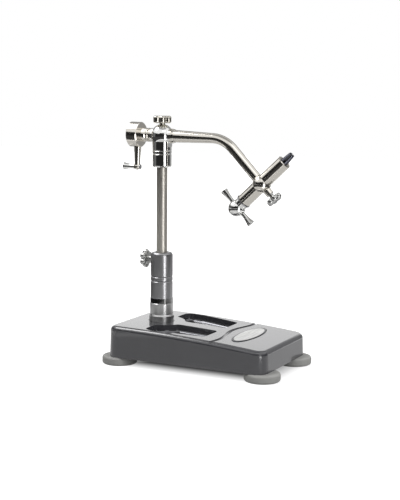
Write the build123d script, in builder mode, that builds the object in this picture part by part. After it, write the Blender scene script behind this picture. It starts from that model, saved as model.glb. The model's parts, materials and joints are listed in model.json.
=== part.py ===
"""Rotary fly tying vise on a weighted pedestal base. Millimetres, +Z up.

The origin is on the floor under the middle of the base. The rotary axis runs along X,
with the crank at -X and the jaw at +X. The user sits at -Y.
"""
import os
from math import cos, pi, radians, sin, sqrt, tan

from build123d import *

os.makedirs("parts", exist_ok=True)

# Fits and cuts
running_gap = 0.05
fit_gap = 0.02
pad_gap = 0.1
face_gap = 0.06
overrun = 5.0

# Base block: a wedge with a gently crowned top, thicker at the post's end
base_length = 148.5
base_width = 95.5
base_corner = 10.4
base_high = 34.4
base_low = 25.9
base_crown = 1.8
base_draft = 2.0
base_edge = 4.0

# Rubber feet and their screws
foot_radius = 15.2
foot_height = 7.4
foot_end_inset = 6.75
foot_side_inset = 13.05
foot_edge = 2.2
foot_bore = 4.6
foot_floor = 2.4
foot_screw_radius = 2.0
foot_screw_length = 9.0
foot_head_radius = 3.8
foot_head_height = 2.0

# Tool trays: tapered pockets that bend round the post
tray_depth = 7.5
tray_floor_round = 3.6
tray_setback = 4.8
tray_end_gap = 10.5
tray_inner = 6.8
tray_side_gap = 5.95
tray_end_side_gap = 13.55
tray_shoulder_share = 0.3
tray_ring = 21.0
tray_corner = 7.0
tray_end_corner = 4.2
tray_ring_corner = 4.2

# Wavy groove across the top and the oval badge
groove_setback = 15.7
groove_wave = 2.5
groove_pitch = 70.0
groove_crest = 5.0
groove_width = 3.6
groove_depth = 1.4
groove_round = 1.1
groove_steps = 12
badge_inset = 34.05
badge_half_length = 31.0
badge_half_width = 8.3
badge_thick = 1.6
badge_recess = 1.1
badge_margin = 0.5
badge_edge = 0.7

# Post: socket, band, sleeve and stem
post_inset = 29.1
seat_depth = 0.8
seat_margin = 0.6
flare_radius = 10.95
flare_height = 5.6
flare_slope = 1.4
socket_radius = 10.2
socket_height = 17.0
socket_edge = 0.4
spigot_radius = 7.0
spigot_length = 8.0
band_height = 4.1
band_radius = 9.95
sleeve_radius = 9.7
sleeve_height = 40.7
sleeve_rim = 2.4
sleeve_mouth = 1.2
ring_groove_width = 1.2
ring_groove_depth = 0.5
sleeve_groove_drop = 21.4
sleeve_groove_spacing = 4.0
stem_diameter = 9.525
stem_bottom_gap = 9.0
stem_edge = 0.8
stem_neck_depth = 0.9
stem_neck_width = 2.2
stem_neck_drop = 4.0

# Bolt and washer under the post
bolt_radius = 4.0
bolt_clear = 0.4
bolt_head_radius = 6.5
bolt_head_height = 8.0
bolt_engage = 6.5
bolt_sink = 10.4
bolt_sink_radius = 9.0
bolt_key = 3.2
bolt_key_depth = 4.0
hex_sides = 6
washer_radius = 8.0
washer_thick = 1.6

# Clamp screws: lobed knob, screw and swivel pad
lobe_count = 6
lobe_share = 0.36
lobe_edge = 1.8
lobe_round = 0.5
screw_radius = 2.5
pad_relief = 0.1
pad_thick = 2.0
pad_spigot_radius = 1.0
pad_spigot_length = 1.1
clamp_drop = 6.6
clamp_neck = 3.8
clamp_knob_radius = 8.2
clamp_knob_thick = 5.0

# Head
axis_height = 196.7
head_radius = 8.6
head_bottom_drop = 27.3
head_chamfer = 1.3
head_groove_drop = 13.0
head_groove_spacing = 2.8
ball_head_radius = 10.0
head_top_rise = 9.6
head_cheek = 7.8
stem_seat_drop = 14.5
head_screw_radius = 1.5
bush_radius = 5.5
bush_length = 5.0
bush_flange_radius = 6.2
bush_flange_thick = 1.2
tension_neck = 1.1
tension_knob_radius = 8.6
tension_knob_thick = 6.4

# Rotary shaft, arm and ball end, measured along the shaft, which leans a little to the jaw
rotor_tilt = 1.2
shaft_radius = 4.0
arm_flange_radius = 6.3
arm_flange_thick = 1.4
arm_cove = 2.6
arm_root_radius = 5.35
arm_radius = 4.3
arm_drop_angle = 45.4
arm_bend_radius = 27.0
ball_reach = 95.3
ball_drop = 36.0
ball_radius = 8.0
lock_boss_radius = 3.5
lock_boss_length = 11.6

# Drum and crank
collar_length = 5.4
collar_radius = 6.1
collar_bead = 0.9
drum_boss_radius = 6.0
drum_boss_edge = 0.7
drum_boss_length = 6.0
drum_radius = 10.9
drum_thick = 10.2
drum_edge = 0.6
drum_wall = 2.6
drum_screw_radius = 1.5
crank_root_radius = 3.2
crank_tip_radius = 2.4
crank_stud_radius = 2.4
crank_stud_length = 4.0
crank_inset = 3.7
crank_throw = 28.3
eye_radius = 2.9
pin_radius = 1.2
pin_head_radius = 2.1
pin_head_thick = 0.9

# Trumpet handles, on the crank and in the draw knob
handle_end_radius = 3.3
handle_waist_share = 0.5
handle_waist_radius = 2.3
handle_lip = 0.5
handle_dish = 0.5
handle_stud_radius = 1.5
handle_stud_length = 3.0
tommy_length = 11.0
tommy_root_radius = 1.9
tommy_offset = 1.0
crank_handle_length = 10.6
crank_handle_root_radius = 2.2
crank_handle_bore = 7.6

# Jaw: barrel, collet and draw knob, measured along the barrel from the ball's centre
barrel_radius = 6.2
barrel_front = 28.0
barrel_rear = 22.0
barrel_edge = 0.5
mouth_radius = 3.75
mouth_length = 8.0
mouth_chamfer = 0.5
bar_radius = 2.5
collet_reach = 9.2
collet_nose_radius = 2.6
collet_tip_round = 1.1
collet_slot = 0.9
collet_slot_back = 20.0
collet_bar_end = 31.0
key_radius = 0.9
key_setback = 3.0
key_depth = 1.1
key_travel = 2.6
thrust_radius = 6.75
thrust_thick = 1.0
knob_ball_radius = 7.4
knob_neck_radius = 5.9
knob_ball_setback = 8.0
knob_blind = 3.0
lock_screw_radius = 2.0
lock_pad_thick = 1.7
lock_neck = 3.0
lock_knob_radius = 7.3
lock_knob_thick = 4.8

# Places worked out from the sizes
upward = (Align.CENTER, Align.CENTER, Align.MIN)
downward = (Align.CENTER, Align.CENTER, Align.MAX)
post_x = post_inset - base_length / 2
badge_x = base_length / 2 - badge_inset
groove_x = badge_x - groove_setback
tray_left = post_x + tray_setback
tray_right = groove_x - tray_end_gap
tray_outer = base_width / 2 - tray_side_gap
tray_outer_end = base_width / 2 - tray_end_side_gap
tray_shoulder = tray_left + (tray_right - tray_left) * tray_shoulder_share
tray_middle = (tray_left + tray_right) / 2
top_slope = (base_high - base_low) / base_length
base_middle = (base_high + base_low) / 2


def top_height(x):
    # Height of the block's crowned top
    return base_middle - top_slope * x + base_crown * (1 - (2 * x / base_length) ** 2)


def top_plane(x):
    # Plane that touches the crowned top at x
    lean = top_slope + 8 * base_crown * x / base_length**2
    return Plane((x, 0, top_height(x)), x_dir=(1, 0, -lean), z_dir=(lean, 0, 1))


seat_height = top_height(post_x) - seat_depth
socket_top = seat_height + socket_height
band_top = socket_top + band_height
sleeve_top = band_top + sleeve_height
spigot_bottom = socket_top - spigot_length
stem_radius = stem_diameter / 2
stem_bottom = spigot_bottom + stem_bottom_gap
stem_top = axis_height - stem_seat_drop
clamp_height = sleeve_top - clamp_drop
head_bottom = axis_height - head_bottom_drop
cheek_face = head_cheek + bush_flange_thick
collar_start = cheek_face + face_gap
drum_boss_start = collar_start + collar_length + face_gap
drum_start = drum_boss_start + drum_boss_length
crank_place = drum_start + crank_inset
drum_end = drum_start + drum_thick
shaft_end = drum_end - drum_wall
arm_start = cheek_face + face_gap
arm_tan = tan(radians(arm_drop_angle))
arm_corner = ball_reach - ball_drop / arm_tan

# Planes: the third axis of each runs along the piece it carries
head_centre = (post_x, 0, axis_height)
rotor_along = Vector(cos(radians(rotor_tilt)), 0, -sin(radians(rotor_tilt)))
rotor_up = Vector(sin(radians(rotor_tilt)), 0, cos(radians(rotor_tilt)))
arm_down = rotor_along * cos(radians(arm_drop_angle)) - rotor_up * sin(radians(arm_drop_angle))
jaw_up = rotor_along * sin(radians(arm_drop_angle)) + rotor_up * cos(radians(arm_drop_angle))
post_plane = Plane((post_x, 0, 0))
clamp_plane = Plane((post_x, 0, clamp_height), x_dir=(0, 0, 1), z_dir=(-1, 0, 0))
tension_plane = Plane(head_centre)
shaft_plane = Plane(head_centre, x_dir=rotor_up, z_dir=rotor_along)
drum_plane = Plane(head_centre, x_dir=rotor_up, z_dir=-rotor_along)
arm_plane = Plane(head_centre, x_dir=rotor_along, z_dir=(0, -1, 0))
crank_plane = Plane(drum_plane.offset(crank_place).origin, x_dir=rotor_along, z_dir=-rotor_up)
pin_plane = Plane(crank_plane.offset(crank_throw).origin, x_dir=rotor_up, z_dir=-rotor_along)
ball_centre = arm_plane.from_local_coords((ball_reach, -ball_drop, 0))
jaw_plane = Plane(ball_centre, x_dir=-arm_down, z_dir=jaw_up)
lock_plane = Plane(ball_centre, x_dir=jaw_up, z_dir=arm_down)


def turning_plane(carrier):
    # Sketch plane of a turned piece: first axis outward, second axis along the carrier
    return Plane(carrier.origin, x_dir=carrier.x_dir, z_dir=-carrier.y_dir)


def turning_axis(carrier):
    return Axis(carrier.origin, carrier.z_dir)


def save(piece, name):
    piece.part.label = name
    export_step(piece.part, f"parts/{name}.step")


def foot_places():
    across = base_length / 2 - foot_end_inset
    deep = base_width / 2 - foot_side_inset
    return {
        "foot_front_left": (-across, -deep),
        "foot_front_right": (across, -deep),
        "foot_rear_left": (-across, deep),
        "foot_rear_right": (across, deep),
    }


def groove_edge(shift):
    # One edge of the wavy groove, as points from the front of the top to the back
    points = []
    for step in range(groove_steps + 1):
        y = (step / groove_steps - 1 / 2) * (base_width + overrun)
        wave = groove_wave * cos(2 * pi * (y - groove_crest) / groove_pitch)
        points.append((shift - wave, y))
    return points


def ring_groove(carrier, radius, height):
    # Sketch of a vee groove round a turned piece
    with BuildSketch(turning_plane(carrier)) as vee:
        with BuildLine():
            Polyline(
                (radius - ring_groove_depth, height),
                (radius + ring_groove_depth, height + ring_groove_width),
                (radius + ring_groove_depth, height - ring_groove_width),
                close=True,
            )
        make_face()
    return vee


# Outlines on the block: its crowned profile, the two trays and the groove
with BuildSketch(Plane.XZ) as crowned_profile:
    with BuildLine():
        Polyline(
            (base_length / 2, base_low),
            (base_length / 2 + overrun, base_low),
            (base_length / 2 + overrun, 0),
            (-base_length / 2 - overrun, 0),
            (-base_length / 2 - overrun, base_high),
            (-base_length / 2, base_high),
        )
        ThreePointArc(
            (-base_length / 2, base_high), (0, base_middle + base_crown), (base_length / 2, base_low)
        )
    make_face()

with BuildSketch(top_plane(tray_middle)) as trays:
    with BuildLine():
        Polyline(
            (tray_left - tray_middle, tray_inner),
            (tray_right - tray_middle, tray_inner),
            (tray_right - tray_middle, tray_outer_end),
            (tray_shoulder - tray_middle, tray_outer),
            (tray_left - tray_middle, tray_outer),
            close=True,
        )
    make_face()
    fillet(trays.vertices().group_by(Axis.X)[-1], tray_end_corner)
    fillet(trays.vertices().group_by(Axis.Y)[-1], tray_corner)
    with Locations((post_x - tray_middle, 0)):
        Circle(tray_ring, mode=Mode.SUBTRACT)
    fillet(trays.vertices().sort_by_distance((post_x - tray_middle, 0))[:2], tray_ring_corner)
    mirror(about=Plane.XZ)

groove_plane = top_plane(groove_x)
with BuildSketch(groove_plane) as wavy_groove:
    with BuildLine():
        near_edge = Spline(*groove_edge(-groove_width / 2))
        far_edge = Spline(*groove_edge(groove_width / 2))
        Line(near_edge @ 0, far_edge @ 0)
        Line(near_edge @ 1, far_edge @ 1)
    make_face()

with BuildPart() as groove_cutter:
    extrude(wavy_groove.sketch, amount=-groove_depth)
    groove_floor = groove_cutter.faces().filter_by(groove_plane).sort_by(Axis.Z)[0]
    fillet(groove_floor.edges().sort_by(SortBy.LENGTH)[-2:], groove_round)
    extrude(wavy_groove.sketch, amount=overrun)

# Base block
foot_screw_points = list(foot_places().values())
with BuildPart() as base_block:
    with BuildSketch(Plane.XY.offset(foot_height)):
        RectangleRounded(base_length, base_width, base_corner)
    extrude(amount=base_high + base_crown, taper=base_draft)
    extrude(crowned_profile.sketch, amount=base_width, both=True, mode=Mode.INTERSECT)
    fillet(base_block.faces().sort_by(Axis.Z)[-1].edges(), base_edge)
    extrude(trays.sketch, amount=-tray_depth, mode=Mode.SUBTRACT)
    extrude(trays.sketch, amount=overrun, mode=Mode.SUBTRACT)
    tray_floors = base_block.faces().filter_by(top_plane(tray_middle))
    fillet(tray_floors.edges(), tray_floor_round)
    with BuildSketch(top_plane(badge_x).offset(-badge_recess)):
        Ellipse(badge_half_width + badge_margin, badge_half_length + badge_margin)
    extrude(amount=overrun, mode=Mode.SUBTRACT)
    add(groove_cutter.part, mode=Mode.SUBTRACT)
    with Locations((post_x, 0, seat_height)):
        Cylinder(flare_radius + seat_margin, overrun, align=upward, mode=Mode.SUBTRACT)
    with Locations((post_x, 0, foot_height)):
        Cylinder(bolt_radius + bolt_clear, base_high, align=upward, mode=Mode.SUBTRACT)
        Cylinder(bolt_sink_radius, bolt_sink, align=upward, mode=Mode.SUBTRACT)
    with Locations(*[(x, y, foot_height) for x, y in foot_screw_points]):
        Cylinder(foot_screw_radius + fit_gap, foot_screw_length, align=upward, mode=Mode.SUBTRACT)
save(base_block, "base_block")

with BuildPart() as badge_plate:
    with BuildSketch(top_plane(badge_x).offset(-badge_recess)):
        Ellipse(badge_half_width, badge_half_length)
    extrude(amount=badge_thick)
    fillet(badge_plate.faces().sort_by(Axis.Z)[-1].edges(), badge_edge)
save(badge_plate, "badge_plate")

# Feet and their screws
for foot_name, (foot_x, foot_y) in foot_places().items():
    with BuildPart() as foot:
        with Locations((foot_x, foot_y, 0)):
            Cylinder(foot_radius, foot_height, align=upward)
        fillet(foot.edges(), foot_edge)
        with Locations((foot_x, foot_y, 0)):
            Cylinder(foot_bore, foot_floor, align=upward, mode=Mode.SUBTRACT)
            Cylinder(foot_screw_radius + fit_gap, foot_height, align=upward, mode=Mode.SUBTRACT)
    save(foot, foot_name)

with BuildPart() as foot_screws:
    with Locations(*[(x, y, foot_floor) for x, y in foot_screw_points]):
        Cylinder(foot_head_radius, foot_head_height, align=downward)
        Cylinder(
            foot_screw_radius, foot_height - foot_floor + foot_screw_length - face_gap, align=upward
        )
save(foot_screws, "foot_screws")

# Bolt and washer under the post
bolt_seat = foot_height + bolt_sink
with BuildPart() as post_washer:
    with BuildSketch(Plane((post_x, 0, bolt_seat - washer_thick))):
        Circle(washer_radius)
        Circle(bolt_radius + fit_gap, mode=Mode.SUBTRACT)
    extrude(amount=washer_thick)
save(post_washer, "post_washer")

bolt_head_top = bolt_seat - washer_thick
with BuildPart() as post_bolt:
    with Locations((post_x, 0, bolt_head_top)):
        Cylinder(bolt_head_radius, bolt_head_height, align=downward)
        Cylinder(bolt_radius, seat_height + bolt_engage - bolt_head_top, align=upward)
    with BuildSketch(Plane((post_x, 0, bolt_head_top - bolt_head_height))):
        RegularPolygon(bolt_key, hex_sides)
    extrude(amount=bolt_key_depth, mode=Mode.SUBTRACT)
save(post_bolt, "post_bolt")

# Post: socket, band and sleeve
with BuildPart() as post_socket:
    with BuildSketch(turning_plane(post_plane)):
        with BuildLine():
            Polyline(
                (0, seat_height),
                (flare_radius, seat_height),
                (flare_radius, seat_height + flare_height),
                (socket_radius, seat_height + flare_height + flare_slope),
                (socket_radius, socket_top - socket_edge),
                (socket_radius - socket_edge, socket_top),
                (0, socket_top),
                close=True,
            )
        make_face()
    revolve(axis=turning_axis(post_plane))
    with Locations((post_x, 0, seat_height)):
        Cylinder(bolt_radius + fit_gap, bolt_engage + face_gap, align=upward, mode=Mode.SUBTRACT)
    with Locations((post_x, 0, spigot_bottom)):
        Cylinder(spigot_radius + fit_gap, spigot_length, align=upward, mode=Mode.SUBTRACT)
save(post_socket, "post_socket")

with BuildPart() as post_band:
    with BuildSketch(Plane((post_x, 0, socket_top))):
        Circle(band_radius)
        Circle(spigot_radius + fit_gap, mode=Mode.SUBTRACT)
    extrude(amount=band_height)
save(post_band, "post_band")

with BuildPart() as post_sleeve:
    with Locations((post_x, 0, band_top)):
        Cylinder(sleeve_radius, sleeve_height, align=upward)
        Cylinder(spigot_radius, band_height + spigot_length, align=downward)
    fillet(post_sleeve.edges().group_by(Axis.Z)[-1], sleeve_rim)
    for step in range(2):
        groove_height = sleeve_top - sleeve_groove_drop - step * sleeve_groove_spacing
        vee = ring_groove(post_plane, sleeve_radius, groove_height)
        revolve(vee.sketch, axis=turning_axis(post_plane), mode=Mode.SUBTRACT)
    with Locations((post_x, 0, spigot_bottom)):
        Cylinder(
            stem_radius + running_gap, sleeve_top - spigot_bottom, align=upward, mode=Mode.SUBTRACT
        )
    rim_edges = post_sleeve.edges().filter_by(GeomType.CIRCLE).group_by(Axis.Z)[-1]
    chamfer(rim_edges.sort_by(SortBy.RADIUS)[0], sleeve_mouth)
    with Locations(clamp_plane):
        Cylinder(
            screw_radius + running_gap, sleeve_radius + overrun, align=upward, mode=Mode.SUBTRACT
        )
save(post_sleeve, "post_sleeve")

# Stem with the neck that the head's grub screw runs in
with BuildPart() as stem:
    with BuildSketch(turning_plane(post_plane)):
        with BuildLine():
            Polyline(
                (0, stem_bottom),
                (stem_radius - stem_edge, stem_bottom),
                (stem_radius, stem_bottom + stem_edge),
                (stem_radius, stem_top - stem_neck_drop - stem_neck_width),
                (stem_radius - stem_neck_depth, stem_top - stem_neck_drop - stem_neck_width),
                (stem_radius - stem_neck_depth, stem_top - stem_neck_drop),
                (stem_radius, stem_top - stem_neck_drop),
                (stem_radius, stem_top - stem_edge),
                (stem_radius - stem_edge, stem_top),
                (0, stem_top),
                close=True,
            )
        make_face()
    revolve(axis=turning_axis(post_plane))
save(stem, "stem")


def clamp_knob(carrier, tip, bore_radius, neck_end, knob_radius, knob_thick):
    # Lobed knob on a screw, with the small spigot that carries its swivel pad
    lobe_radius = knob_radius * lobe_share
    with BuildPart() as knob:
        with BuildSketch(carrier.offset(neck_end)) as lobes:
            Circle(knob_radius - lobe_radius)
            with PolarLocations(knob_radius - lobe_radius, lobe_count):
                Circle(lobe_radius)
            fillet(lobes.vertices(), lobe_round)
        extrude(amount=knob_thick)
        fillet(knob.faces().filter_by(Axis(carrier.origin, carrier.z_dir)).edges(), lobe_edge)
        with Locations(carrier.offset(tip)):
            Cylinder(bore_radius, neck_end - tip, align=upward)
            Cylinder(pad_spigot_radius, pad_spigot_length, align=downward)
    return knob


def swivel_pad(carrier, start, thick, radius):
    # Pad that turns freely on the end of a clamp screw
    with BuildPart() as pad:
        with Locations(carrier.offset(start)):
            Cylinder(radius - pad_relief, thick, align=upward)
        with Locations(carrier.offset(start + thick)):
            Cylinder(
                pad_spigot_radius + running_gap,
                pad_spigot_length + face_gap,
                align=downward,
                mode=Mode.SUBTRACT,
            )
    return pad


# Stem clamp
clamp_pad_start = stem_radius + pad_gap
clamp_tip = clamp_pad_start + pad_thick + face_gap
clamp_neck_end = sleeve_radius + clamp_neck
stem_clamp_pad = swivel_pad(clamp_plane, clamp_pad_start, pad_thick, screw_radius)
save(stem_clamp_pad, "stem_clamp_pad")
stem_clamp_knob = clamp_knob(
    clamp_plane, clamp_tip, screw_radius, clamp_neck_end, clamp_knob_radius, clamp_knob_thick
)
save(stem_clamp_knob, "stem_clamp_knob")

# Head: barrel on the stem, ball with a cross bore and flat cheeks
head_ball_foot = sqrt(ball_head_radius**2 - head_radius**2)
head_top_radius = sqrt(ball_head_radius**2 - head_top_rise**2)
stem_seat = stem_top + face_gap
with BuildPart() as head_housing:
    with BuildSketch(turning_plane(tension_plane)):
        with BuildLine():
            Polyline(
                (head_radius, -head_ball_foot),
                (head_radius, head_chamfer - head_bottom_drop),
                (head_radius - head_chamfer, -head_bottom_drop),
                (0, -head_bottom_drop),
                (0, head_top_rise),
                (head_top_radius, head_top_rise),
            )
            ThreePointArc(
                (head_top_radius, head_top_rise),
                (ball_head_radius, 0),
                (head_radius, -head_ball_foot),
            )
        make_face()
    revolve(axis=turning_axis(tension_plane))
    for step in range(2):
        vee = ring_groove(tension_plane, head_radius, -head_groove_drop - step * head_groove_spacing)
        revolve(vee.sketch, axis=turning_axis(tension_plane), mode=Mode.SUBTRACT)
    for side in (shaft_plane, drum_plane):
        with Locations(side.offset(head_cheek)):
            Cylinder(ball_head_radius, overrun, align=upward, mode=Mode.SUBTRACT)
    with Locations(shaft_plane):
        Cylinder(bush_radius + fit_gap, ball_head_radius * 2 + overrun, mode=Mode.SUBTRACT)
    with Locations((post_x, 0, head_bottom)):
        Cylinder(stem_radius + running_gap, stem_seat - head_bottom, align=upward, mode=Mode.SUBTRACT)
    with Locations(tension_plane):
        Cylinder(screw_radius + running_gap, ball_head_radius, align=upward, mode=Mode.SUBTRACT)
    neck_height = stem_top - stem_neck_drop - stem_neck_width / 2
    head_screw_plane = Plane((post_x, 0, neck_height), x_dir=(1, 0, 0), z_dir=(0, 1, 0))
    with Locations(head_screw_plane):
        Cylinder(head_screw_radius + fit_gap, head_radius + overrun, align=upward, mode=Mode.SUBTRACT)
save(head_housing, "head_housing")

head_screw_start = stem_radius - stem_neck_depth + pad_gap
with BuildPart() as head_grub_screw:
    with Locations(head_screw_plane.offset(head_screw_start)):
        Cylinder((stem_neck_width - pad_gap * 2) / 2, stem_neck_depth, align=upward)
    with Locations(head_screw_plane.offset(stem_radius + running_gap)):
        Cylinder(head_screw_radius, head_radius - stem_radius - stem_edge, align=upward)
    with BuildSketch(head_screw_plane.offset(head_radius + running_gap - stem_edge)):
        RegularPolygon(head_screw_radius / 2, hex_sides)
    extrude(amount=-head_screw_radius, mode=Mode.SUBTRACT)
save(head_grub_screw, "head_grub_screw")

for bush_name, side in (("bush_right", shaft_plane), ("bush_left", drum_plane)):
    with BuildPart() as bush:
        with Locations(side.offset(head_cheek)):
            Cylinder(bush_radius, bush_length, align=downward)
            Cylinder(bush_flange_radius, bush_flange_thick, align=upward)
        with Locations(side):
            Cylinder(shaft_radius + running_gap, cheek_face * 2 + overrun, mode=Mode.SUBTRACT)
    save(bush, bush_name)

# Rotary tension screw
tension_pad_start = shaft_radius + pad_gap
tension_tip = tension_pad_start + pad_thick + face_gap
tension_neck_end = head_top_rise + tension_neck
tension_pad = swivel_pad(tension_plane, tension_pad_start, pad_thick, screw_radius)
save(tension_pad, "tension_pad")
tension_knob = clamp_knob(
    tension_plane,
    tension_tip,
    screw_radius,
    tension_neck_end,
    tension_knob_radius,
    tension_knob_thick,
)
save(tension_knob, "tension_knob")

# Rotary arm: shaft, flange, tapered run, bend and ball end in one piece
bend_tangent = arm_bend_radius * tan(radians(arm_drop_angle / 2))
bend_start = arm_corner - bend_tangent
with BuildPart() as rotary_arm:
    with BuildSketch(turning_plane(shaft_plane)):
        with BuildLine():
            Polyline(
                (arm_flange_radius, arm_start + arm_flange_thick),
                (arm_flange_radius, arm_start),
                (shaft_radius, arm_start),
                (shaft_radius, -shaft_end),
                (0, -shaft_end),
                (0, bend_start),
                (arm_radius, bend_start),
                (arm_root_radius, arm_start + arm_flange_thick + arm_cove),
            )
            RadiusArc(
                (arm_root_radius, arm_start + arm_flange_thick + arm_cove),
                (arm_flange_radius, arm_start + arm_flange_thick),
                arm_cove * 2,
            )
        make_face()
    revolve(axis=turning_axis(shaft_plane))
    with BuildLine(arm_plane) as arm_path:
        FilletPolyline(
            (bend_start - arm_cove, 0), (arm_corner, 0), (ball_reach, -ball_drop), radius=arm_bend_radius
        )
    with BuildSketch(shaft_plane.offset(bend_start - arm_cove)):
        Circle(arm_radius)
    sweep(path=arm_path.line)
    with Locations(ball_centre):
        Sphere(ball_radius)
    with Locations(lock_plane):
        Cylinder(lock_boss_radius, lock_boss_length, align=upward)
    with Locations(jaw_plane):
        Cylinder(barrel_radius + running_gap, ball_radius * 2 + overrun, mode=Mode.SUBTRACT)
    with Locations(lock_plane):
        Cylinder(
            lock_screw_radius + running_gap, lock_boss_length + overrun, align=upward, mode=Mode.SUBTRACT
        )
save(rotary_arm, "rotary_arm")

# Beaded collar, drum and crank
collar_waist = collar_radius - collar_bead
collar_end = collar_start + collar_length
with BuildPart() as spacer_collar:
    with BuildSketch(turning_plane(drum_plane)):
        with BuildLine():
            Polyline(
                (collar_waist, collar_start),
                (shaft_radius + fit_gap, collar_start),
                (shaft_radius + fit_gap, collar_end),
                (collar_waist, collar_end),
            )
            ThreePointArc(
                (collar_waist, collar_start),
                (collar_radius, collar_start + collar_length / 4),
                (collar_waist, collar_start + collar_length / 2),
            )
            ThreePointArc(
                (collar_waist, collar_start + collar_length / 2),
                (collar_radius, collar_end - collar_length / 4),
                (collar_waist, collar_end),
            )
        make_face()
    revolve(axis=turning_axis(drum_plane))
save(spacer_collar, "spacer_collar")

with BuildPart() as crank_drum:
    with BuildSketch(turning_plane(drum_plane)):
        with BuildLine():
            Polyline(
                (0, drum_boss_start),
                (drum_boss_radius - drum_boss_edge, drum_boss_start),
                (drum_boss_radius, drum_boss_start + drum_boss_edge),
                (drum_boss_radius, drum_start),
                (drum_radius - drum_edge, drum_start),
                (drum_radius, drum_start + drum_edge),
                (drum_radius, drum_end - drum_edge),
                (drum_radius - drum_edge, drum_end),
                (0, drum_end),
                close=True,
            )
        make_face()
    revolve(axis=turning_axis(drum_plane))
    with Locations(drum_plane):
        Cylinder(shaft_radius + fit_gap, shaft_end + face_gap, align=upward, mode=Mode.SUBTRACT)
    with Locations(crank_plane.offset(drum_radius)):
        Cylinder(
            crank_stud_radius + fit_gap, crank_stud_length + face_gap, align=downward, mode=Mode.SUBTRACT
        )
    drum_screw_plane = Plane(crank_plane.origin, x_dir=(1, 0, 0), z_dir=(0, 1, 0))
    with Locations(drum_screw_plane):
        Cylinder(drum_screw_radius + fit_gap, drum_radius + overrun, align=upward, mode=Mode.SUBTRACT)
save(crank_drum, "crank_drum")

with BuildPart() as drum_grub_screw:
    with Locations(drum_screw_plane.offset(shaft_radius + face_gap)):
        Cylinder(drum_screw_radius, drum_radius - shaft_radius - drum_edge, align=upward)
    with BuildSketch(drum_screw_plane.offset(drum_radius + face_gap - drum_edge)):
        RegularPolygon(drum_screw_radius / 2, hex_sides)
    extrude(amount=-drum_screw_radius, mode=Mode.SUBTRACT)
save(drum_grub_screw, "drum_grub_screw")

with BuildPart() as crank_rod:
    with BuildSketch(turning_plane(crank_plane)):
        with BuildLine():
            Polyline(
                (0, drum_radius - crank_stud_length),
                (crank_stud_radius, drum_radius - crank_stud_length),
                (crank_stud_radius, drum_radius),
                (crank_root_radius, drum_radius),
                (crank_tip_radius, crank_throw),
                (0, crank_throw),
                close=True,
            )
        make_face()
    revolve(axis=turning_axis(crank_plane))
    with Locations(crank_plane.offset(crank_throw)):
        Sphere(eye_radius)
    with Locations(pin_plane):
        Cylinder(pin_radius + fit_gap, eye_radius * 2 + overrun, mode=Mode.SUBTRACT)
    with Locations(pin_plane.offset(crank_tip_radius)):
        Cylinder(eye_radius, eye_radius, align=upward, mode=Mode.SUBTRACT)
    with Locations(pin_plane.offset(-crank_tip_radius)):
        Cylinder(eye_radius, eye_radius, align=downward, mode=Mode.SUBTRACT)
save(crank_rod, "crank_rod")


def trumpet_profile(root_radius, start, length):
    # Half outline of a trumpet handle, from its root to its dished end
    waist = start + length * handle_waist_share
    end = start + length
    with BuildLine() as outline:
        Polyline(
            (handle_end_radius, end - handle_lip),
            (handle_end_radius, end),
            (0, end - handle_dish),
            (0, start),
            (root_radius, start),
        )
        Spline(
            (root_radius, start),
            (handle_waist_radius, waist),
            (handle_end_radius, end - handle_lip),
        )
    return outline


handle_start = crank_tip_radius + pad_gap
with BuildPart() as handle_pin:
    with Locations(pin_plane.offset(-crank_tip_radius)):
        Cylinder(pin_head_radius, pin_head_thick, align=downward)
        Cylinder(
            pin_radius, crank_tip_radius + handle_start + crank_handle_bore - pad_gap, align=upward
        )
save(handle_pin, "handle_pin")

crank_profile = trumpet_profile(crank_handle_root_radius, handle_start, crank_handle_length)
with BuildPart() as crank_handle:
    with BuildSketch(turning_plane(pin_plane)):
        with BuildLine():
            add(crank_profile.line)
        make_face()
    revolve(axis=turning_axis(pin_plane))
    with Locations(pin_plane.offset(handle_start)):
        Cylinder(pin_radius + running_gap, crank_handle_bore, align=upward, mode=Mode.SUBTRACT)
save(crank_handle, "crank_handle")

# Jaw barrel with its tapered mouth
seat_start = barrel_front - mouth_length
barrel_bore = bar_radius + running_gap
with BuildPart() as jaw_barrel:
    with BuildSketch(turning_plane(jaw_plane)):
        with BuildLine():
            Polyline(
                (barrel_bore, -barrel_rear),
                (barrel_radius - barrel_edge, -barrel_rear),
                (barrel_radius, barrel_edge - barrel_rear),
                (barrel_radius, barrel_front - barrel_edge),
                (barrel_radius - barrel_edge, barrel_front),
                (mouth_radius + mouth_chamfer, barrel_front),
                (mouth_radius + running_gap, barrel_front - mouth_chamfer),
                (barrel_bore, seat_start),
                close=True,
            )
        make_face()
    revolve(axis=turning_axis(jaw_plane))
    key_plane = Plane(
        jaw_plane.offset(barrel_front - key_setback).origin, x_dir=jaw_up, z_dir=arm_down
    )
    with Locations(key_plane):
        Cylinder(key_radius + fit_gap, barrel_radius + overrun, align=upward, mode=Mode.SUBTRACT)
save(jaw_barrel, "jaw_barrel")

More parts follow.
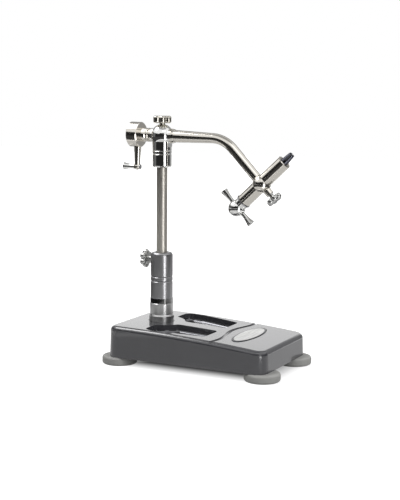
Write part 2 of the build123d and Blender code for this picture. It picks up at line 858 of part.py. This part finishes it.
# Collet: two fingers on a draw bar
collet_tip = barrel_front + collet_reach
key_seat = (mouth_radius + bar_radius) / 2 - key_depth
with BuildPart() as collet:
    with BuildSketch(turning_plane(jaw_plane)):
        with BuildLine():
            Polyline(
                (collet_nose_radius, collet_tip - collet_tip_round),
                (mouth_radius - mouth_chamfer / 2, barrel_front - mouth_chamfer),
                (bar_radius, seat_start + running_gap),
                (bar_radius, -collet_bar_end),
                (0, -collet_bar_end),
                (0, collet_tip),
                (collet_nose_radius - collet_tip_round, collet_tip),
            )
            RadiusArc(
                (collet_nose_radius - collet_tip_round, collet_tip),
                (collet_nose_radius, collet_tip - collet_tip_round),
                collet_tip_round,
            )
        make_face()
    revolve(axis=turning_axis(jaw_plane))
    with Locations(jaw_plane.offset(collet_tip + overrun)):
        Box(
            collet_slot,
            mouth_radius * 4,
            collet_slot_back + overrun,
            align=downward,
            mode=Mode.SUBTRACT,
        )
    with BuildSketch(key_plane.offset(key_seat)):
        SlotOverall((key_travel + key_radius) * 2, (key_radius + running_gap) * 2)
    extrude(amount=mouth_radius, mode=Mode.SUBTRACT)
save(collet, "collet")

with BuildPart() as collet_key:
    with Locations(key_plane.offset(key_seat + face_gap)):
        Cylinder(key_radius, barrel_radius - key_seat - barrel_edge, align=upward)
save(collet_key, "collet_key")

# Thrust washer, draw knob and its two handles
with BuildPart() as thrust_washer:
    with BuildSketch(jaw_plane.offset(-barrel_rear - face_gap)):
        Circle(thrust_radius)
        Circle(bar_radius + running_gap, mode=Mode.SUBTRACT)
    extrude(amount=-thrust_thick)
save(thrust_washer, "thrust_washer")

knob_front = barrel_rear + thrust_thick + face_gap * 2
knob_centre = knob_front + knob_ball_setback
tommy_plane = Plane(jaw_plane.offset(tommy_offset - knob_centre).origin, x_dir=jaw_up, z_dir=-arm_down)
tommy_lower_plane = Plane(tommy_plane.origin, x_dir=jaw_up, z_dir=arm_down)
with BuildPart() as draw_knob:
    with Locations(jaw_plane.offset(-knob_centre)):
        Sphere(knob_ball_radius)
        Cylinder(knob_neck_radius, knob_ball_setback, align=upward)
    with Locations(jaw_plane.offset(-knob_front)):
        Cylinder(
            bar_radius + running_gap,
            collet_bar_end - knob_front + knob_blind,
            align=downward,
            mode=Mode.SUBTRACT,
        )
    for side in (tommy_plane, tommy_lower_plane):
        with Locations(side.offset(knob_ball_radius - handle_stud_length)):
            Cylinder(handle_stud_radius + fit_gap, knob_ball_radius, align=upward, mode=Mode.SUBTRACT)
save(draw_knob, "draw_knob")

tommy_start = knob_ball_radius + face_gap
tommy_profile = trumpet_profile(tommy_root_radius, tommy_start, tommy_length)
for handle_name, side in (("tommy_handle_upper", tommy_plane), ("tommy_handle_lower", tommy_lower_plane)):
    with BuildPart() as tommy_handle:
        with BuildSketch(turning_plane(side)):
            with BuildLine():
                add(tommy_profile.line)
            make_face()
        revolve(axis=turning_axis(side))
        with Locations(side.offset(tommy_start)):
            Cylinder(handle_stud_radius, handle_stud_length, align=downward)
    save(tommy_handle, handle_name)

# Jaw lock
lock_pad_start = barrel_radius + pad_gap
lock_tip = lock_pad_start + lock_pad_thick + face_gap
lock_neck_end = lock_boss_length + lock_neck
jaw_lock_pad = swivel_pad(lock_plane, lock_pad_start, lock_pad_thick, lock_screw_radius)
save(jaw_lock_pad, "jaw_lock_pad")
jaw_lock_knob = clamp_knob(
    lock_plane, lock_tip, lock_screw_radius, lock_neck_end, lock_knob_radius, lock_knob_thick
)
save(jaw_lock_knob, "jaw_lock_knob")
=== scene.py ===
# Rotary fly tying vise on a pedestal base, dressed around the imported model
import json
import math

import bmesh
import bpy
from mathutils import Matrix, Vector


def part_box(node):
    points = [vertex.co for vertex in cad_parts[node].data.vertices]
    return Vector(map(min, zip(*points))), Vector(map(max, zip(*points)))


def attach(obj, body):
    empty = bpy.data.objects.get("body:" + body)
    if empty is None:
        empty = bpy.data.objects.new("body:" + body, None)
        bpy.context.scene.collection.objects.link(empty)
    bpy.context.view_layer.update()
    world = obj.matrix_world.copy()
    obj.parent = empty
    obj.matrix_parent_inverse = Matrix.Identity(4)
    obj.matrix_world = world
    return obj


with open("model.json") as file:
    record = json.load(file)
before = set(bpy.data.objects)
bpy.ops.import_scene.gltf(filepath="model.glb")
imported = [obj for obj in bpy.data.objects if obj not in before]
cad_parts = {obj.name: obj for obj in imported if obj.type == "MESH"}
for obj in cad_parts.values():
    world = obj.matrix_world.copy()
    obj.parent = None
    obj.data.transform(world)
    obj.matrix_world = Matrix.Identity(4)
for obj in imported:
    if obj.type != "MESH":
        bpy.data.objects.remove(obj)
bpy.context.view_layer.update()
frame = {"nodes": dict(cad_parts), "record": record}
nodes = frame["nodes"]
scene = bpy.context.scene
print("frame loaded:", len(nodes), "nodes")

millimetre = 0.001
white = (1.0, 1.0, 1.0, 1.0)


def linear(hexColour):
    # sRGB hex to a linear colour
    channels = [int(hexColour[i:i + 2], 16) / 255 for i in (0, 2, 4)]
    return tuple(c / 12.92 if c <= 0.04045 else ((c + 0.055) / 1.055) ** 2.4 for c in channels) + (1.0,)


def addNode(tree, kind, settings=None, links=None):
    # One node, its values and what feeds it; a number as a name counts the inputs
    node = tree.nodes.new(kind)
    for name, value in (settings or {}).items():
        if isinstance(name, int) or name in node.inputs:
            node.inputs[name].default_value = value
        else:
            setattr(node, name, value)
    for name, source in (links or {}).items():
        tree.links.new(source, node.inputs[name])
    return node


def newMaterial(name, settings):
    # A material with its shader set, and its object coordinates
    material = bpy.data.materials.new(name)
    material.use_nodes = True
    tree = material.node_tree
    shader = tree.nodes["Principled BSDF"]
    for key, value in settings.items():
        shader.inputs[key].default_value = value
    place = addNode(tree, "ShaderNodeTexCoord")
    return material, tree, shader, place.outputs["Object"]


def meshObject(name, shape):
    # A finished shape as an object in the scene
    mesh = bpy.data.meshes.new(name)
    shape.to_mesh(mesh)
    shape.free()
    piece = bpy.data.objects.new(name, mesh)
    scene.collection.objects.link(piece)
    return piece


# Camera: the photograph's viewing angle, worked out from the base's edges
cameraSet = {
    "position": (0.43477, -0.88893, 0.23567),
    "target": (-0.0077, 0.0, 0.09906),
    "roll": 0.474,       # degrees, the picture turned clockwise
    "lens": 83.49,
    "sensor": 36.0,
    "clip": (0.01, 50.0),
}
cameraData = bpy.data.cameras.new("camera")
cameraData.lens = cameraSet["lens"]
cameraData.sensor_width = cameraSet["sensor"]
cameraData.clip_start, cameraData.clip_end = cameraSet["clip"]
camera = bpy.data.objects.new("camera", cameraData)
scene.collection.objects.link(camera)
sight = Vector(cameraSet["target"]) - Vector(cameraSet["position"])
look = sight.to_track_quat("-Z", "Y").to_matrix().to_4x4()
roll = Matrix.Rotation(math.radians(cameraSet["roll"]), 4, "Z")
camera.matrix_world = Matrix.Translation(cameraSet["position"]) @ look @ roll
scene.camera = camera
print("camera placed")

# Studio: white sweep, overhead softbox, side lamp, and cards that only the shiny faces see
studioSet = {
    "ambient": 0.42,
    "overheadPower": 8.0,
    "overheadSize": (1.1, 1.1),
    "overheadPlace": (-0.15, -0.1, 1.15),
    "sidePower": 4.0,
    "sideSize": (0.3, 0.8),
    "sideAzimuth": math.radians(75),
    "sideReach": 1.0,
    "sideHeight": 0.5,
    "lampTarget": (0, 0, 0.05),
    "floorSize": 6.0,
    "floorDrop": 0.05 * millimetre,     # keeps the floor clear of the feet
    "floorColour": "a4a4a4",
    "paintedShadeReach": (0.02, 0.05),          # metres from the middle over which the painted shade under the block fades
    "floorFar": (0.14, 0.42),           # metres from the middle over which the floor fades to white
    # glow held low under the block as painted shade, and the glow it reaches beyond
    "paintedShadeGlow": (0.03, 1.0),
    "farGlow": (0.0, 0.5),
    "blockShape": (0.5, 1.0, 1.0),      # lengths along the block count half
}
scene.view_settings.view_transform = "Standard"


def raySeen(tree):
    # 1 for a ray that the eye follows: straight, mirrored or through glass
    rays = addNode(tree, "ShaderNodeLightPath")
    seen = addNode(tree, "ShaderNodeMath", {"operation": "MAXIMUM"}, {
        0: rays.outputs["Is Camera Ray"], 1: rays.outputs["Is Glossy Ray"],
    })
    seenThrough = addNode(tree, "ShaderNodeMath", {"operation": "MAXIMUM"}, {
        0: seen.outputs[0], 1: rays.outputs["Is Transmission Ray"],
    })
    return seenThrough.outputs[0]


world = bpy.data.worlds.new("whiteSweep")
scene.world = world
world.use_nodes = True
tree = world.node_tree
tree.nodes.clear()
dim = addNode(tree, "ShaderNodeBackground", {"Color": white, "Strength": studioSet["ambient"]})
bright = addNode(tree, "ShaderNodeBackground", {"Color": white, "Strength": 1.0})
mixed = addNode(tree, "ShaderNodeMixShader", {}, {
    "Fac": raySeen(tree), 1: dim.outputs[0], 2: bright.outputs[0],
})
addNode(tree, "ShaderNodeOutputWorld", {}, {"Surface": mixed.outputs[0]})

# Floor: pale paper that glows to white for the eye; the glow is held back in a patch under the block as painted
# shade, on top of the real shadow there
shape = bmesh.new()
bmesh.ops.create_grid(shape, x_segments=1, y_segments=1, size=studioSet["floorSize"] / 2)
bmesh.ops.translate(shape, vec=(0, 0, -studioSet["floorDrop"]), verts=shape.verts)
floor = meshObject("floor", shape)
floorPaper = bpy.data.materials.new("whitePaper")
floorPaper.use_nodes = True
tree = floorPaper.node_tree
tree.nodes.clear()
place = addNode(tree, "ShaderNodeTexCoord")
squeeze = addNode(tree, "ShaderNodeMapping", {"Scale": studioSet["blockShape"]}, {
    "Vector": place.outputs["Object"],
})
unsigned = addNode(tree, "ShaderNodeVectorMath", {"operation": "ABSOLUTE"}, {0: squeeze.outputs["Vector"]})
axes = addNode(tree, "ShaderNodeSeparateXYZ", {}, {"Vector": unsigned.outputs["Vector"]})
away = addNode(tree, "ShaderNodeMath", {"operation": "MAXIMUM"}, {0: axes.outputs["X"], 1: axes.outputs["Y"]})
glows = []
# the near pair paints shade under the block by holding back the glow; the far pair fades the floor to white
for reach, level in (("paintedShadeReach", "paintedShadeGlow"), ("floorFar", "farGlow")):
    glows.append(addNode(tree, "ShaderNodeMapRange", {
        "interpolation_type": "SMOOTHSTEP",
        "From Min": studioSet[reach][0], "From Max": studioSet[reach][1],
        "To Min": studioSet[level][0], "To Max": studioSet[level][1],
    }, {"Value": away.outputs["Value"]}))
total = addNode(tree, "ShaderNodeMath", {"operation": "ADD"}, {
    0: glows[0].outputs["Result"], 1: glows[1].outputs["Result"],
})
lift = addNode(tree, "ShaderNodeMath", {"operation": "MULTIPLY"}, {0: raySeen(tree), 1: total.outputs[0]})
paper = addNode(tree, "ShaderNodeBsdfDiffuse", {"Color": linear(studioSet["floorColour"])})
glow = addNode(tree, "ShaderNodeEmission", {"Color": white}, {"Strength": lift.outputs[0]})
both = addNode(tree, "ShaderNodeAddShader", {}, {0: paper.outputs[0], 1: glow.outputs[0]})
addNode(tree, "ShaderNodeOutputMaterial", {}, {"Surface": both.outputs[0]})
floor.data.materials.append(floorPaper)

# Cards round the object, as in a studio: dark ones give polished metal its bands, lit ones its streak and
# gloss. Each is a profile of (reach, height) in metres, swept over a span of degrees from the front
wallPath = ((0.66, 0.09), (0.8, 0.46))
tallPath = ((0.3, 0.003), (0.66, 0.003), (0.8, 0.46))
nearFloorPath = ((0.08, 0.001), (0.24, 0.001))
floorPath = ((0.26, 0.002), (1.4, 0.002))
litPath = ((0.2, 0.002), (2.9, 0.002), (2.95, 0.14))
cardSteps = 24
cardSet = {
    "nearFloorCard": {"span": (0, 360), "path": nearFloorPath, "glow": 0.66},
    "leftFloorCard": {"span": (-128, 45), "path": floorPath, "glow": 0.05},
    "frontCard": {"span": (-50, 45), "path": wallPath, "glow": 0.02},
    "frontLeftCard": {"span": (-72, -50), "path": wallPath, "glow": 0.15},
    "leftCard": {"span": (-98, -72), "path": wallPath, "glow": 0.1},
    "leftRearCard": {"span": (-122, -98), "path": wallPath, "glow": 0.22},
    "litCard": {"span": (51, 62.5), "path": litPath, "glow": 6.5},
    "rightCard": {"span": (65, 132), "path": tallPath, "glow": 0.06},
    "rightRearCard": {"span": (132, 172), "path": tallPath, "glow": 0.35},
    "backCard": {"span": (174, 236), "path": ((0.7, 0.03), (0.74, 0.3)), "glow": 1.1},
    "overheadCard": {"span": (0, 360), "path": ((0.002, 1.0), (0.42, 1.0)), "glow": 0.4},
    "backTopCard": {"span": (150, 262), "path": ((0.76, 0.36), (0.4, 0.72)), "glow": 0.35},
    "archCard": {"span": (25, 70), "path": ((0.68, 0.82), (0.52, 0.98)), "glow": 1.7},
    "rearFloorCard": {"span": (172, 232), "path": floorPath, "glow": 0.3},
    "keyCard": {"span": (-114, -50), "path": ((0.74, 0.8), (0.45, 0.99)), "glow": 7.0},
    "frontTopCard": {"span": (-4, 45), "path": ((0.8, 0.46), (0.79, 0.58)), "glow": 0.03},
}
for name, spec in cardSet.items():
    shape = bmesh.new()
    start, end = (math.radians(degrees) for degrees in spec["span"])
    ahead = Vector((math.sin(start), -math.cos(start), 0))
    chain = [shape.verts.new(ahead * reach + Vector((0, 0, height))) for reach, height in spec["path"]]
    edges = [shape.edges.new(pair) for pair in zip(chain, chain[1:])]
    bmesh.ops.spin(
        shape, geom=chain + edges, cent=(0, 0, 0), axis=(0, 0, 1), angle=end - start, steps=cardSteps,
    )
    card = meshObject(name, shape)
    paint = bpy.data.materials.new(name + "Paper")
    paint.use_nodes = True
    tree = paint.node_tree
    tree.nodes.clear()
    shine = addNode(tree, "ShaderNodeEmission", {"Color": white, "Strength": spec["glow"]})
    addNode(tree, "ShaderNodeOutputMaterial", {}, {"Surface": shine.outputs[0]})
    card.data.materials.append(paint)
    card.visible_camera = False
    card.visible_diffuse = False
    card.visible_shadow = False
    card.visible_transmission = False


def areaLamp(name, power, size, position):
    # A soft lamp that looks at the object
    data = bpy.data.lights.new(name, "AREA")
    data.shape = "RECTANGLE"
    data.size, data.size_y = size
    data.energy = power
    lamp = bpy.data.objects.new(name, data)
    scene.collection.objects.link(lamp)
    aim = Vector(studioSet["lampTarget"]) - Vector(position)
    lamp.matrix_world = Matrix.Translation(position) @ aim.to_track_quat("-Z", "Y").to_matrix().to_4x4()
    lamp.visible_glossy = False      # the cards are what the metal mirrors


areaLamp("overheadBox", studioSet["overheadPower"], studioSet["overheadSize"], studioSet["overheadPlace"])
sidePlace = (
    math.sin(studioSet["sideAzimuth"]) * studioSet["sideReach"],
    -math.cos(studioSet["sideAzimuth"]) * studioSet["sideReach"],
    studioSet["sideHeight"],
)
areaLamp("sideLamp", studioSet["sidePower"], studioSet["sideSize"], sidePlace)
print("studio lit")


def noise(tree, place, size, detail):
    # Soft noise whose lumps have a real size
    source = addNode(tree, "ShaderNodeTexNoise", {"Scale": 1 / size, "Detail": detail}, {"Vector": place})
    return source.outputs["Fac"]


def twoTones(tree, source, tones, span=(0, 1)):
    # A blend from one tone to another
    blend = addNode(tree, "ShaderNodeValToRGB", {}, {"Fac": source})
    for stop, tone, position in zip(blend.color_ramp.elements, tones, span):
        stop.position = position
        stop.color = linear(tone)
    return blend.outputs["Color"]


def roughen(tree, shader, source, limits):
    # Roughness that drifts between two values
    spread = addNode(tree, "ShaderNodeMapRange", {"To Min": limits[0], "To Max": limits[1]}, {"Value": source})
    tree.links.new(spread.outputs["Result"], shader.inputs["Roughness"])


def emboss(tree, shader, height, strength, depth):
    # Fine relief, too small to model
    bump = addNode(tree, "ShaderNodeBump", {"Strength": strength, "Distance": depth}, {"Height": height})
    tree.links.new(bump.outputs["Normal"], shader.inputs["Normal"])


# Powder coat on a cast block: dark grey with a fine orange peel, a sheen that grows at low angles
coatSet = {
    "tones": ("3b3b3f", "47474b"),
    "cloud": 40 * millimetre,
    "cloudDetail": 3.0,
    "peel": 1.4 * millimetre,
    "peelDetail": 2.0,
    "peelDepth": 0.1 * millimetre,
    "peelStrength": 0.12,
}
powderCoat, tree, shader, place = newMaterial("powderCoatGrey", {
    "Roughness": 0.2, "IOR": 1.5, "Coat Weight": 1.0, "Coat Roughness": 0.06, "Coat IOR": 1.5,
})
tint = twoTones(tree, noise(tree, place, coatSet["cloud"], coatSet["cloudDetail"]), coatSet["tones"])
# Inside the trays the coat mirrors like dark plate: below the sloped top, away from the sides
traySet = {
    "slope": math.radians(3.3),     # fall of the top towards the low end
    "topAtMiddle": 30.1 * millimetre,
    "rimDepth": (2.2 * millimetre, 3.4 * millimetre),
    "span": (-43 * millimetre, 18 * millimetre),
    "halfWidth": 41.5 * millimetre,
    "colour": "5c5c60",
}
downward = (-math.sin(traySet["slope"]), 0, -math.cos(traySet["slope"]))
fall = addNode(tree, "ShaderNodeVectorMath", {"operation": "DOT_PRODUCT", 1: downward}, {0: place})
topLevel = traySet["topAtMiddle"] * math.cos(traySet["slope"])
below = addNode(tree, "ShaderNodeMapRange", {
    "From Min": traySet["rimDepth"][0] - topLevel, "From Max": traySet["rimDepth"][1] - topLevel,
}, {"Value": fall.outputs["Value"]})
axes = addNode(tree, "ShaderNodeSeparateXYZ", {}, {"Vector": place})
sideways = addNode(tree, "ShaderNodeMath", {"operation": "ABSOLUTE"}, {0: axes.outputs["Y"]})
inTray = below.outputs["Result"]
for value, test, limit in (
    (sideways.outputs[0], "LESS_THAN", traySet["halfWidth"]),
    (axes.outputs["X"], "GREATER_THAN", traySet["span"][0]),
    (axes.outputs["X"], "LESS_THAN", traySet["span"][1]),
):
    side = addNode(tree, "ShaderNodeMath", {"operation": test, 1: limit}, {0: value})
    kept = addNode(tree, "ShaderNodeMath", {"operation": "MULTIPLY"}, {0: inTray, 1: side.outputs[0]})
    inTray = kept.outputs[0]
coat = addNode(tree, "ShaderNodeMixRGB", {"Color2": linear(traySet["colour"])}, {"Fac": inTray, "Color1": tint})
tree.links.new(coat.outputs["Color"], shader.inputs["Base Color"])
tree.links.new(inTray, shader.inputs["Metallic"])
peel = noise(tree, place, coatSet["peel"], coatSet["peelDetail"])
emboss(tree, shader, peel, coatSet["peelStrength"], coatSet["peelDepth"])

# Moulded rubber: mid grey, matt, a faint grain
rubberSet = {
    "tones": ("9a9a98", "ababa8"),
    "cloud": 9 * millimetre,
    "cloudDetail": 4.0,
    "grain": 0.5 * millimetre,
    "grainDetail": 3.0,
    "grainDepth": 0.1 * millimetre,
    "grainStrength": 0.25,
}
footRubber, tree, shader, place = newMaterial("mouldedRubberGrey", {"Roughness": 0.72, "IOR": 1.5})
tint = twoTones(tree, noise(tree, place, rubberSet["cloud"], rubberSet["cloudDetail"]), rubberSet["tones"])
tree.links.new(tint, shader.inputs["Base Color"])
grain = noise(tree, place, rubberSet["grain"], rubberSet["grainDetail"])
emboss(tree, shader, grain, rubberSet["grainStrength"], rubberSet["grainDepth"])

# Brushed aluminium: bright, streaked along the oval, with a dark line round its edge that is painted shade for
# the gap round the plate
badgeSet = {
    # width and tone of the painted shade line round the edge
    "line": 0.9 * millimetre,
    "dark": "55565a",
    "tones": ("d2d2d0", "fafaf8"),
    "toneSpan": (0.3, 0.7),
    "streak": 1.2 * millimetre,
    "streakDetail": 4.0,
    "streakStretch": (1, 0.08, 1),
    "flatten": 1000.0,      # so large that height counts for nothing
}
badgeAluminium, tree, shader, place = newMaterial("brushedAluminium", {"Metallic": 1.0, "Roughness": 0.3})
low, high = (Vector(corner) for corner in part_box("badge_plate"))
half = (high - low) / 2
centred = addNode(tree, "ShaderNodeMapping", {
    "vector_type": "TEXTURE", "Location": (low + high) / 2, "Scale": (half.x, half.y, badgeSet["flatten"]),
}, {"Vector": place})
outward = addNode(tree, "ShaderNodeVectorMath", {"operation": "LENGTH"}, {0: centred.outputs["Vector"]})
# painted shade: the outer band of the oval turns dark
paintedShadeStart = 1 - badgeSet["line"] / half.x
paintedShadeRim = addNode(tree, "ShaderNodeMath", {"operation": "GREATER_THAN", 1: paintedShadeStart}, {
    0: outward.outputs["Value"],
})
stretch = addNode(tree, "ShaderNodeMapping", {"Scale": badgeSet["streakStretch"]}, {"Vector": place})
streaks = noise(tree, stretch.outputs["Vector"], badgeSet["streak"], badgeSet["streakDetail"])
paintedShadeLined = addNode(tree, "ShaderNodeMixRGB", {"Color2": linear(badgeSet["dark"])}, {
    "Fac": paintedShadeRim.outputs[0], "Color1": twoTones(tree, streaks, badgeSet["tones"], badgeSet["toneSpan"]),
})
tree.links.new(paintedShadeLined.outputs["Color"], shader.inputs["Base Color"])

# Acetal ring: gloss black
ringSet = {"cloud": 3 * millimetre, "cloudDetail": 3.0, "roughness": (0.06, 0.1)}
blackAcetal, tree, shader, place = newMaterial("blackAcetal", {
    "Base Color": linear("0a0a0b"), "IOR": 1.5, "Coat Weight": 1.0, "Coat Roughness": 0.06, "Coat IOR": 1.5,
})
roughen(tree, shader, noise(tree, place, ringSet["cloud"], ringSet["cloudDetail"]), ringSet["roughness"])

# Metals: colour on the shader's socket, roughness that drifts, fine rings where a bar or tube was turned
turningSet = {"stretch": (0.1, 0.1, 1), "depth": 0.05 * millimetre, "cloudDetail": 4.0, "lineDetail": 2.0}
tubeLines = {"size": 0.5 * millimetre, "strength": 0.05}
barLines = {"size": 0.4 * millimetre, "strength": 0.06}
metalSet = {
    # Chrome plate, mirror polished: near white where it sees light, black where it sees the cards
    "polishedChrome": {"colour": "eeeeec", "roughness": (0.05, 0.09), "cloud": 8 * millimetre},
    # Dark chrome plate over a turned tube: grey, with one soft bright streak
    "gunmetalChrome": {
        "colour": "a4a4a6", "roughness": (0.26, 0.34), "cloud": 10 * millimetre, "lines": tubeLines,
    },
    # Satin chrome plate on the socket: lighter than the tube above it
    "satinChrome": {
        "colour": "c6c6c6", "roughness": (0.26, 0.34), "cloud": 10 * millimetre, "lines": tubeLines,
    },
    # Nickel plate, polished by hand: warm white, reflections a little soft
    "warmNickel": {"colour": "dedad2", "roughness": (0.1, 0.15), "cloud": 10 * millimetre},
    # Satin nickel on the tension knob: its lobes shade softly
    "satinNickel": {"colour": "d8d4ca", "roughness": (0.2, 0.26), "cloud": 8 * millimetre},
    # Bright nickel plate on the small turned pieces: neutral, reflections a little soft
    "brightNickel": {"colour": "c2c2c0", "roughness": (0.12, 0.18), "cloud": 6 * millimetre},
    # Centreless ground steel: warm grey with fine rings round the bar
    "groundSteel": {
        "colour": "d2cec6", "roughness": (0.38, 0.46), "cloud": 12 * millimetre, "lines": barLines,
    },
    # Black oxide on tool steel: blue black, soft shine
    "blackOxideSteel": {"colour": "4c4d55", "roughness": (0.22, 0.32), "cloud": 4 * millimetre},
    # Sintered bronze: brown yellow
    "bearingBronze": {"colour": "9c7a48", "roughness": (0.25, 0.35), "cloud": 4 * millimetre},
    # Zinc plated screws: pale grey
    "zincSteel": {"colour": "b9b9bb", "roughness": (0.25, 0.35), "cloud": 5 * millimetre},
}
metals = {}
for name, spec in metalSet.items():
    metals[name], tree, shader, place = newMaterial(name, {
        "Base Color": linear(spec["colour"]), "Metallic": 1.0,
    })
    roughen(tree, shader, noise(tree, place, spec["cloud"], turningSet["cloudDetail"]), spec["roughness"])
    if "lines" in spec:
        stretch = addNode(tree, "ShaderNodeMapping", {"Scale": turningSet["stretch"]}, {"Vector": place})
        lines = noise(tree, stretch.outputs["Vector"], spec["lines"]["size"], turningSet["lineDetail"])
        emboss(tree, shader, lines, spec["lines"]["strength"], turningSet["depth"])

finishes = {
    "coated_block": powderCoat,
    "badge_aluminium": badgeAluminium,
    "foot_rubber": footRubber,
    "plain_steel": metals["zincSteel"],
    "gunmetal_chrome": metals["gunmetalChrome"],
    "black_ring": blackAcetal,
    "polished_chrome": metals["polishedChrome"],
    "warm_nickel": metals["warmNickel"],
    "bronze": metals["bearingBronze"],
    "blackened_steel": metals["blackOxideSteel"],
}
ownFinishes = {
    "stem": metals["groundSteel"],
    "post_socket": metals["satinChrome"],
    "tension_knob": metals["satinNickel"],
    "stem_clamp_knob": metals["brightNickel"],
    "jaw_lock_knob": metals["brightNickel"],
    "tommy_handle_upper": metals["brightNickel"],
    "tommy_handle_lower": metals["brightNickel"],
}
slotOf = {part["node"]: part["material_slot"] for part in frame["record"]["subparts"]}
for name, piece in nodes.items():
    piece.data.materials.clear()
    piece.data.materials.append(ownFinishes.get(name, finishes[slotOf[name]]))
print("finishes given")

# Threads on the bare necks of the three clamp screws, turned as one ridge round each
threadSet = {
    "pitch": 0.8 * millimetre,
    "depth": 0.25 * millimetre,
    "gap": 0.25 * millimetre,
    "halfRidgeShare": 0.36,     # of the pitch
    "sunkShare": 0.2,           # of the depth, so that the ridge stands in the neck
    "stepsPerTurn": 24,
    "leastSteps": 12,
    "weld": 0.001 * millimetre,
}
neckSet = {
    "stem_clamp": {"neck": 3.8 * millimetre, "knob": 5.0 * millimetre, "radius": 2.5 * millimetre},
    "tension": {"neck": 1.1 * millimetre, "knob": 6.4 * millimetre, "radius": 2.5 * millimetre},
    "jaw_lock": {"neck": 3.0 * millimetre, "knob": 4.8 * millimetre, "radius": 2.0 * millimetre},
}
jointOf = {joint["name"]: joint for joint in frame["record"]["behaviour"]["joints"]}
for name, spec in neckSet.items():
    knob = nodes[name + "_knob"]
    joint = jointOf[name + "_turn"]
    centre = Vector(joint["pos_m"])
    axis = Vector(joint["axis"]).normalized()
    across = axis.orthogonal().normalized()
    outerFace = max((vertex.co - centre).dot(axis) for vertex in knob.data.vertices)
    neckEnd = outerFace - spec["knob"]
    halfRidge = threadSet["pitch"] * threadSet["halfRidgeShare"]
    first = neckEnd - spec["neck"] + threadSet["gap"] + halfRidge
    length = neckEnd - halfRidge - first
    turns = length / threadSet["pitch"]
    steps = max(threadSet["leastSteps"], round(turns * threadSet["stepsPerTurn"]))
    shape = bmesh.new()
    start = centre + axis * first
    foot = start + across * (spec["radius"] - threadSet["depth"] * threadSet["sunkShare"])
    tip = start + across * (spec["radius"] + threadSet["depth"])
    corners = [shape.verts.new(point) for point in (foot - axis * halfRidge, tip, foot + axis * halfRidge)]
    sides = [shape.edges.new((corners[i], corners[i - 1])) for i in range(len(corners))]
    bmesh.ops.spin(
        shape, geom=corners + sides, cent=centre, axis=axis, dvec=axis * (length / steps),
        angle=math.tau * turns, steps=steps,
    )
    bmesh.ops.remove_doubles(shape, verts=shape.verts, dist=threadSet["weld"])
    bmesh.ops.holes_fill(shape, edges=[edge for edge in shape.edges if edge.is_boundary], sides=0)
    bmesh.ops.recalc_face_normals(shape, faces=shape.faces)
    thread = meshObject(name + "_thread", shape)
    thread.data.materials.append(knob.data.materials[0])
    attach(thread, name + "_knob")
print("threads cut:", len(neckSet))
